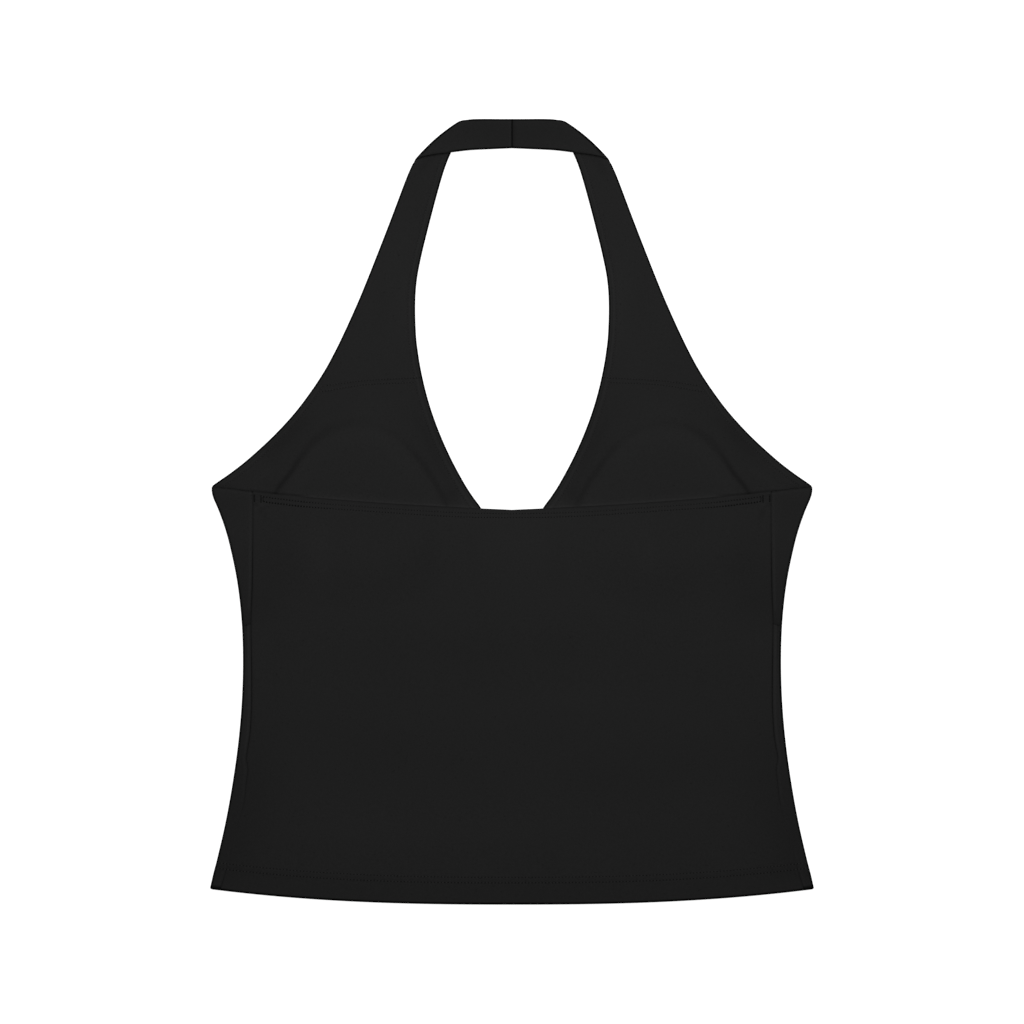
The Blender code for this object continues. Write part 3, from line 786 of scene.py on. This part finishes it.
def strap_rows():
    """Rows across a strap, from its seam up, round the fold and along the band to the centre.

    A row is: outer x, y; inner x, y; heights of both; fold bow; seam bow; reach inside the fold's edge.
    Also the number of rising rows, and the direction out of the fold.
    """
    start = (STRAP_SEAM_OUTER_Y - STRAP_LAP, STRAP_SEAM_INNER_Y - STRAP_LAP, 0)
    rising = [[float(read(ARM_EDGE, low)), low, float(read(NECK_EDGE, high)), high, STRAP_Z, STRAP_Z,
               FOLD_BOW * bow, 0.0, STRAP_FAR] for low, high, bow in (start,) + STRAP_ROWS]
    rising[0][7] = STRAP_SEAM_BOW
    outer_end, inner_end = np.array(rising[-1][0:2]), np.array(rising[-1][2:4])
    rising = resample(rising, 1.7)
    first = [mix(rising[0], rising[1], part) for part in (0.0, 0.06, 0.18, 0.33, 0.6)]
    rising = np.concatenate([first, rising[1:]])

    along = (inner_end - outer_end) / np.linalg.norm(inner_end - outer_end)
    out = np.array((along[1], -along[0]))
    turn = []
    for part in np.linspace(0, 1, 19)[1:]:
        bulge = math.sin(math.pi * part)
        z = STRAP_Z + STRAP_TURN * (1 - math.cos(math.pi * part))
        outer = outer_end + along * FOLD_RUN_OUTER * part * (2 - part)
        inner = inner_end + along * FOLD_RUN_INNER * part + out * STRAP_TURN * bulge
        turn.append([*outer, *inner, z, z, FOLD_BOW, 0.0, FOLD_REACH * (1 - bulge)])
    band = [turn[-1]]
    for index, (lower, upper) in enumerate(zip(BAND_LOWER_EDGE, BAND_UPPER_EDGE)):
        band.append([*lower, *upper, 0.0, 0.0, FOLD_BOW / 2 * (index == 0), 0.0, STRAP_FAR])
    band = resample(band, 1.5)[1:]
    last = [mix(band[-2], band[-1], part) for part in (0.4, 0.65, 0.85, 0.95, 1.0)]
    band = np.concatenate([band[:-1], last])
    band[:, 4], band[:, 5] = band_z(band[:, 0]), band_z(band[:, 2])
    return np.concatenate([rising, turn, band]), len(rising), out


def slant(edge, across):
    """How much longer a step along a row is than at right angles to the edge, evened over seven rows."""
    along = np.gradient(edge, axis=0)
    sine = np.linalg.norm(np.cross(along, across), axis=1) / np.linalg.norm(along, axis=1)
    return np.convolve(np.pad(1 / np.clip(sine, 0.45, 1), 3, "edge"), np.ones(7) / 7, "valid")


def strap(side):
    rows, rising, out = strap_rows()
    outer_x, outer_y, inner_x, inner_y, outer_z, inner_z, bow, seam_bow, in_fold = rows.T[..., None]
    outer, inner = np.hstack([outer_x, outer_y, outer_z]), np.hstack([inner_x, inner_y, inner_z])
    width = np.linalg.norm(inner - outer, axis=1)
    across = (inner - outer) / width[:, None]
    arm_slant, neck_slant = slant(outer, across), slant(inner, across)
    places = columns_between(0 * width, width, arm_slant, neck_slant, STRAP_LINES, 14)
    part = places / width[:, None]
    arch = 4 * part * (1 - part)
    to_arm, to_neck = places / arm_slant[:, None], (width[:, None] - places) / neck_slant[:, None]
    thinning = (1 - np.clip(np.minimum(to_arm, to_neck) / STRAP_ROUND, 0, 1)) ** 2
    at_fold = np.clip(1 - in_fold / FOLD_REACH, 0, 1)
    push = bow * arch + FOLD_FLUSH * (1 - np.sqrt(1 - thinning)) * at_fold
    x = mix(outer_x, inner_x, part) + out[0] * push
    y = mix(outer_y, inner_y, part) + out[1] * push + seam_bow * arch
    is_rising = np.arange(len(rows))[:, None] < rising
    depth = np.where(is_rising, creases_at(side * x, y, STRAP_CREASES), 0.0)
    neck_stitches = read(NECK_STITCHES, y)
    sunk = np.where(is_rising, STRAP_STITCH_DEPTH * line(to_neck - neck_stitches, STITCH_WIDTH), 0.0)
    z = mix(outer_z, inner_z, part) - depth - sunk

    # painted shade along the fold and the edges, and painted shade with a painted highlight beside the
    # band's centre seam
    turned_over = smooth((outer_z - STRAP_Z - STRAP_TURN) / 0.4)
    fold_dark = FOLD_PAINTED_SHADE * turned_over * mix(FOLD_END_SHARE, 1.0, smooth(to_arm / FOLD_END_REACH))
    band_dark = BAND_ON_STRAP_DARK * (1 - ramp(x, *BAND_SHADE_END))
    tone = soft_painted_shading(x, y) * (1 - CREASE_PAINTED_SHADE * depth)
    tone *= painted_edge_shade(in_fold, fold_dark, mix(*FOLD_DARK_REACH, part))
    tone *= painted_edge_shade(to_arm, mix(EDGE_PAINTED_SHADE, band_dark, turned_over * ramp(x, *BAND_ON_STRAP)))
    tone *= np.where(is_rising, turned_edge_painted_shading(to_neck, neck_stitches), painted_edge_shade(to_neck))
    centre = -CENTRE_SHADE * (1 - smooth(x / CENTRE_SHADE_REACH)) if side == 1 else stripe(x, CENTRE_LIGHT)
    tone *= np.where(is_rising, 1.0, (1 + centre) * (1 + stripe(x, CENTRE_SEAM_SHADE)))
    grid = np.stack([x, y, z], -1)[::-1]
    patch = [(grid, places[::-1], running(grid, 0), tone[::-1])]
    return patch if side == 1 else mirrored(patch)


# ---------------- pads

PAD_RINGS, PAD_CORNERS, PAD_SHRINK = 16, 96, 0.96


def make_pad(name, side, material):
    """A foam cup pad between the bust's two layers, flat below and rounded above."""
    angles = np.linspace(0, math.tau, PAD_CORNERS + 1)
    reach = PAD_SHRINK * np.sin(np.linspace(0, math.pi / 2, PAD_RINGS + 1))[:, None] * pad_edge(angles)
    x, y = PAD_CENTRE[0] + reach * np.cos(angles), PAD_CENTRE[1] + reach * np.sin(angles)
    thick = np.maximum(pad_rise(x, y) - PAD_CLEARANCE, PAD_THINNEST)
    below, above = (np.stack([side * x, y, PAD_Z + lift], -1) for lift in (0 * thick, thick))
    grid = np.concatenate([below, above[::-1]])
    points, _, faces, _ = weld([(grid, *np.ones((3, *grid.shape[:2])))])
    return add_piece(name, points, [face[::side] for face in faces], material)


# ---------------- sewing

THREAD_RADIUS = 0.17
THREAD_LENGTH = 0.62  # share of the pitch
THREAD_SHAPE = (  # (place along the thread, height above the cloth, share of its radius)
    (-0.5, -0.2, 0.6), (-0.25, 0.06, 1.0), (0.25, 0.06, 1.0), (0.5, -0.2, 0.6))
THREAD_SIDES, HOLE_SIDES = 6, 8
HOLE_TOP, HOLE_BOTTOM, HOLE_RIM = 0.05, -0.1, 0.02  # heights above the cloth
HEM_HOLES = (0.40, 0.35)  # radii of the needle's holes, dark discs of painted shade
CASING_HOLES, CASING_END_HOLES = (0.32, 0.36), (0.48, 0.62)
CASING_HOLES_GROW = (110, 28)  # from how far out, and over what reach
SEAM_HOLE, EDGE_HOLE = 0.30, 0.17
HEM_ROW_END, CASING_ROW_END = 186.5, 158.4
NECK_ROW, ARM_ROW = (1.0, 224.0), (18.5, 83.0)
BAR_TACKS = (  # (half width, from y, to y, hole)
    (162.6, 11.4, 6.9, 0.50), (158.4, 10.9, 6.2, 0.45), (157.1, 10.5, 6.6, 0.32))
BELOW_ALL, ABOVE_ALL = -5.0, 40.0


class Surface:
    """Cloth to lay stitches on, from above or from below, in millimetres."""

    def __init__(self, *cloths):
        verts, faces = [], []
        for cloth in cloths:
            first = len(verts)
            verts += [tuple(v.co / MM) for v in cloth.data.vertices]
            faces += [tuple(first + corner for corner in face.vertices) for face in cloth.data.polygons]
        self.tree = BVHTree.FromPolygons(verts, faces)

    def at(self, x, y, under):
        start = Vector((x, y, BELOW_ALL if under else ABOVE_ALL))
        hit, normal, _, _ = self.tree.ray_cast(start, Vector((0, 0, 1.0 if under else -1.0)))
        if hit is None:
            return None
        if (normal.z > 0) == under:
            normal.negate()
        return hit, normal


def along_path(path, pitch):
    """Even steps of about the pitch along a path, as (x, y, direction along x, direction along y)."""
    places = running(path[:, None], 0)[:, 0]
    count = max(1, round(places[-1] / pitch))
    wanted = (np.arange(count) + 0.5) * places[-1] / count

    def at(where):
        return np.array([np.interp(where, places, path[:, axis]) for axis in (0, 1)])

    x, y = at(wanted)
    dx, dy = at(np.minimum(wanted + 0.4, places[-1])) - at(np.maximum(wanted - 0.4, 0))
    size = np.hypot(dx, dy)
    return zip(x, y, dx / size, dy / size)


class Sewing:
    """Rows of stitches gathered into one mesh: threads, and dark discs of painted shade at the needle's
    holes between them.

    A row is (path, pitch, hole); it lies on the cloth above and, if there is one, on that below.
    """

    def __init__(self, rows, above, below=None):
        self.verts, self.threads, self.holes = [], [], []
        for row in rows:
            self.lay(above, *row)
            if below:
                self.lay(below, *row, under=True)

    def ring(self, centre, first_axis, second_axis, radius, sides):
        for corner in range(sides):
            angle = math.tau * corner / sides
            spoke = first_axis * math.cos(angle) + second_axis * math.sin(angle)
            self.verts.append(centre + spoke * radius)

    def thread(self, point, up, ahead, length):
        start, sides = len(self.verts), range(THREAD_SIDES)
        for share, lift, fat in THREAD_SHAPE:
            centre = point + ahead * share * length + up * lift
            self.ring(centre, up.cross(ahead), up, THREAD_RADIUS * fat, THREAD_SIDES)
        last = len(self.verts) - THREAD_SIDES
        for first in range(start, last, THREAD_SIDES):
            for corner in sides:
                a, b = first + corner, first + (corner + 1) % THREAD_SIDES
                self.threads.append((a, b, b + THREAD_SIDES, a + THREAD_SIDES))
        self.threads.append(tuple(start + corner for corner in reversed(sides)))
        self.threads.append(tuple(last + corner for corner in sides))

    def hole(self, point, up, ahead, radius):
        first = len(self.verts)
        self.verts += [point + up * HOLE_TOP, point + up * HOLE_BOTTOM]
        self.ring(point + up * HOLE_RIM, up.cross(ahead), ahead, radius, HOLE_SIDES)
        for corner in range(HOLE_SIDES):
            a, b = first + 2 + corner, first + 2 + (corner + 1) % HOLE_SIDES
            self.holes += [(first, b, a), (first + 1, a, b)]

    def lay(self, surface, path, pitch, hole, under=False):
        """Stitches along a path; hole is a radius, or the radius as a function of x."""
        for x, y, dx, dy in along_path(path, pitch):
            radius = hole(x) if callable(hole) else hole
            for share, is_thread in ((0.0, True), (0.5, False)):
                found = surface.at(x + dx * pitch * share, y + dy * pitch * share, under)
                if found is None:
                    continue
                point, up = found
                ahead = Vector((dx, dy, 0.0))
                ahead = (ahead - up * ahead.dot(up)).normalized()
                if is_thread:
                    self.thread(point, up, ahead, pitch * THREAD_LENGTH)
                else:
                    self.hole(point, up, ahead, radius)

    def make(self, name, materials):
        made = add_piece(name, self.verts, self.threads + self.holes, *materials)
        marks = [0] * len(self.threads) + [1] * len(self.holes)
        made.data.polygons.foreach_set("material_index", marks)
        return made


def inside_edge(table, places, distance, side):
    """A path beside a half-width table's edge; a positive distance is towards smaller widths."""
    x = read(table, places)
    slope = np.gradient(x, places)
    size = np.sqrt(1 + slope * slope)
    return np.stack([side * (x - distance / size), places + distance * slope / size], -1)


def hem_rows():
    xs = np.linspace(-HEM_ROW_END, HEM_ROW_END, 300)
    for rise, hole in zip(HEM_STITCHES, HEM_HOLES):
        yield np.stack([xs, hem_y(xs) + rise], -1), HEM_PITCH, hole


def casing_rows():
    xs = np.linspace(-CASING_ROW_END, CASING_ROW_END, 240)
    for table, hole, end_hole in zip(CASING_STITCHES, CASING_HOLES, CASING_END_HOLES):
        path = np.stack([xs, back_top_y(xs) - read(table, np.abs(xs))], -1)
        yield path, CASING_PITCH, lambda x: mix(hole, end_hole, ramp(abs(x), *CASING_HOLES_GROW))
    for side in (-1, 1):
        for x, high, low, hole in BAR_TACKS:
            yield np.stack([np.full(8, side * x), np.linspace(high, low, 8)], -1), TACK_PITCH, hole


def edge_rows():
    ys = np.linspace(*NECK_ROW, 160)
    for side in (-1, 1):
        yield inside_edge(NECK_EDGE, ys, -read(NECK_STITCHES, ys), side), EDGE_PITCH, EDGE_HOLE
        yield inside_edge(ARM_EDGE, np.linspace(*ARM_ROW, 90), ARM_STITCHES, side), EDGE_PITCH, EDGE_HOLE


def strap_seam_rows():
    for side in (-1, 1):
        for row in STRAP_SEAM_STITCHES:
            xs = np.linspace(row[0][0], row[-1][0], 40)
            yield np.stack([side * xs, read(row[::-1], xs)], -1), EDGE_PITCH, SEAM_HOLE


# ---------------- materials

class Nodes:
    """A material's node tree, with short ways to add and join its nodes."""

    def __init__(self, name):
        self.material = bpy.data.materials.new(name)
        self.material.use_nodes = True
        self.tree = self.material.node_tree
        self.shader = self.tree.nodes["Principled BSDF"]

    def add(self, kind, **values):
        made = self.tree.nodes.new(kind)
        for key, value in values.items():
            setattr(made, key, value)
        return made

    def join(self, output, target):
        self.tree.links.new(output, target)

    def math(self, operation, *values):
        made = self.add("ShaderNodeMath", operation=operation)
        for value, socket in zip(values, made.inputs):
            if isinstance(value, (int, float)):
                socket.default_value = value
            else:
                self.join(value, socket)
        return made.outputs[0]

    def noise(self, scale, detail=2.0):
        made = self.add("ShaderNodeTexNoise")
        made.inputs["Scale"].default_value = scale
        made.inputs["Detail"].default_value = detail
        self.join(self.add("ShaderNodeTexCoord").outputs["Object"], made.inputs["Vector"])
        return made.outputs[0]

    def about_one(self, value, spread):
        """A noise or height about 0.5 as a factor about 1."""
        return self.math("MULTIPLY_ADD", value, spread, 1 - spread / 2)

    def colour(self, base, *factors):
        tint = self.add("ShaderNodeVectorMath", operation="SCALE")
        tint.inputs[0].default_value = base
        total = factors[0]
        for factor in factors[1:]:
            total = self.math("MULTIPLY", total, factor)
        self.join(total, tint.inputs["Scale"])
        self.join(tint.outputs[0], self.shader.inputs["Base Color"])

    def bump(self, height, strength, distance):
        made = self.add("ShaderNodeBump")
        made.inputs["Strength"].default_value = strength
        made.inputs["Distance"].default_value = distance * MM
        self.join(height, made.inputs["Height"])
        self.join(made.outputs[0], self.shader.inputs["Normal"])

    def finish(self, **values):
        for name, value in values.items():
            self.shader.inputs[name.replace("_", " ")].default_value = value
        return self.material


def knit_material(name, colour, wale, course):
    """Smooth jersey: columns of small V loops along the cut's length, fine fuzz and faint mottling, times
    the piece's painted light and shade.
    """
    nodes = Nodes(name)
    parts = nodes.add("ShaderNodeSeparateXYZ")
    nodes.join(nodes.add("ShaderNodeUVMap", uv_map="cut").outputs[0], parts.inputs[0])
    across = nodes.math("MULTIPLY", parts.outputs[0], 1 / (wale * MM))
    along = nodes.math("MULTIPLY", parts.outputs[1], 1 / (course * MM))
    column = nodes.math("PINGPONG", across, 0.5)
    loop = nodes.math("FRACT", nodes.math("ADD", along, column))
    bulge = nodes.math("SINE", nodes.math("MULTIPLY", loop, math.pi))
    rib = nodes.math("SINE", nodes.math("MULTIPLY", column, math.tau))
    loops = nodes.math("MULTIPLY", bulge, rib)
    fuzz = nodes.noise(900.0, 3.0)
    specks = nodes.math("GREATER_THAN", nodes.noise(1100.0, 0.0), 0.8)
    nodes.bump(nodes.math("MULTIPLY_ADD", fuzz, 1.5, loops), 0.5, 0.08)
    # painted light and shade of the piece, read from its points
    tone = nodes.add("ShaderNodeAttribute", attribute_name="tone").outputs["Fac"]
    nodes.colour(colour, tone, nodes.about_one(loops, 0.12), nodes.about_one(fuzz, 0.35),
                 nodes.about_one(nodes.noise(22.0, 4.0), 0.07),
                 nodes.math("MULTIPLY_ADD", specks, -0.3, 1.0))
    return nodes.finish(Roughness=0.9, Specular_IOR_Level=0.005)


def plain_material(name, colour, roughness, scale):
    """Foam, thread or the painted shade in a needle's hole: one colour with a fine noise in it."""
    nodes = Nodes(name)
    noise = nodes.noise(scale)
    nodes.colour(colour, nodes.about_one(noise, 0.6))
    nodes.bump(noise, 0.3, 0.05)
    return nodes.finish(Roughness=roughness, Specular_IOR_Level=0.1)


# ---------------- assembly

CLOTH_COLOUR = (0.0104, 0.0104, 0.0104)
# a little lighter than the cloth: partly the thread's own colour, partly a painted highlight on the threads
THREAD_COLOUR = (0.0115, 0.0115, 0.0115)
# near black: the painted shade inside the needle's holes
HOLE_SHADE_COLOUR = (0.0006, 0.0006, 0.0006)
FOAM_COLOUR = (0.02, 0.02, 0.02)

KNITS = {  # spacing of the wales and the courses
    "front": (0.55, 0.42), "back": (0.55, 0.42), "lining": (0.5, 0.4), "strap": (0.55, 0.42)}
SHEETS = {  # slot, cut width and length in metres, flat area in square metres
    "front_body": ("front_jersey", 0.395, 0.197, 0.072),
    "front_bust": ("front_jersey", 0.436, 0.156, 0.048),
    "bust_lining": ("lining_jersey", 0.376, 0.156, 0.044),
    "back": ("back_jersey", 0.376, 0.289, 0.095),
    "strap_left": ("strap_jersey", 0.066, 0.235, 0.0066),
    "strap_right": ("strap_jersey", 0.066, 0.235, 0.0066)}


def build_cloth():
    knits = {part: knit_material(f"{part} knit", CLOTH_COLOUR, *loops) for part, loops in KNITS.items()}
    foam = plain_material("pad foam", FOAM_COLOUR, 0.95, 2500.0)
    cloths = (("front_body", front_body(), "front"), ("front_bust", front_bust(), "front"),
              ("bust_lining", lining(), "lining"), ("back", back(), "back"))
    pieces = {name: make_cloth(f"{name}_cloth", patches, WALL, knits[part])
              for name, patches, part in cloths}
    for label, side in (("left", -1), ("right", 1)):
        pieces[f"strap_{label}"] = make_cloth(
            f"strap_{label}_cloth", strap(side), STRAP_WALL, knits["strap"], STRAP_ROUND)
        pieces[f"cup_pad_{label}"] = make_pad(f"cup_pad_{label}_foam", side, foam)
    return pieces


def build_sewing(pieces):
    """The meshes of sewing, each with the piece it goes with."""
    def surface(*names):
        return Surface(*(pieces[name] for name in names))

    materials = (plain_material("sewing thread", THREAD_COLOUR, 0.6, 3000.0),
                 plain_material("needle hole shade", HOLE_SHADE_COLOUR, 1.0, 3000.0))
    top = surface("back", "front_body", "front_bust")
    inside = surface("bust_lining", "strap_left", "strap_right")
    below = surface("front_body", "front_bust", "strap_left", "strap_right")
    kinds = (("hem_stitches", Sewing(hem_rows(), top, below), "back"),
             ("casing_stitches", Sewing(casing_rows(), top), "back"),
             ("edge_stitches", Sewing(edge_rows(), inside, below), "bust_lining"),
             ("strap_seam_stitches", Sewing(strap_seam_rows(), inside, below), "bust_lining"))
    return {sewing.make(name, materials): carrier for name, sewing, carrier in kinds}


def declare(pieces, sewing):
    for name, piece in pieces.items():
        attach(piece, "root")
        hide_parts(name)
        SHEETS[name][0] if name in SHEETS else "pad_foam"
    for piece in sewing:
        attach(piece, "root")


# ---------------- studio

PICTURE_WIDTH = 1024 * 0.632  # what the picture's 1024 pixels cover
SEEN_HEIGHT = 2.5  # at the height of the side folds


def make_floor():
    bpy.ops.mesh.primitive_plane_add(size=12.0, location=(0, 0, -0.0002))
    floor = bpy.context.active_object
    floor.name = "floor"
    nodes = Nodes("white floor")
    floor.data.materials.append(nodes.finish(
        Base_Color=(0.2, 0.2, 0.2, 1), Roughness=0.9, Specular_IOR_Level=0.0,
        Emission_Color=(1, 1, 1, 1), Emission_Strength=0.95))


def make_light():
    world = bpy.data.worlds.new("soft room")
    world.use_nodes = True
    background = world.node_tree.nodes["Background"]
    background.inputs["Color"].default_value = (1, 1, 1, 1)
    background.inputs["Strength"].default_value = 0.52
    bpy.context.scene.world = world
    lamp = bpy.data.lights.new("softbox", "AREA")
    lamp.shape = "RECTANGLE"
    lamp.size, lamp.size_y = 1.4, 1.0
    lamp.energy = 20.5
    softbox = add_object("softbox", lamp)
    softbox.location = (0.0, 0.55, 1.15)
    aim = softbox.location - Vector((0, 0.1, 0))
    softbox.rotation_euler = aim.to_track_quat("Z", "Y").to_euler()


def make_camera():
    camera = bpy.data.cameras.new("camera")
    camera.lens = 120.0
    camera.sensor_width = 36.0
    camera.clip_end = 20.0
    seat = add_object("camera", camera)
    distance = PICTURE_WIDTH * camera.lens / camera.sensor_width
    seat.location = (0.0, 0.0, (distance + SEEN_HEIGHT) * MM)
    bpy.context.scene.camera = seat
    bpy.context.scene.view_settings.view_transform = "Standard"


pieces = build_cloth()
declare(pieces, build_sewing(pieces))
make_floor()
make_light()
make_camera()
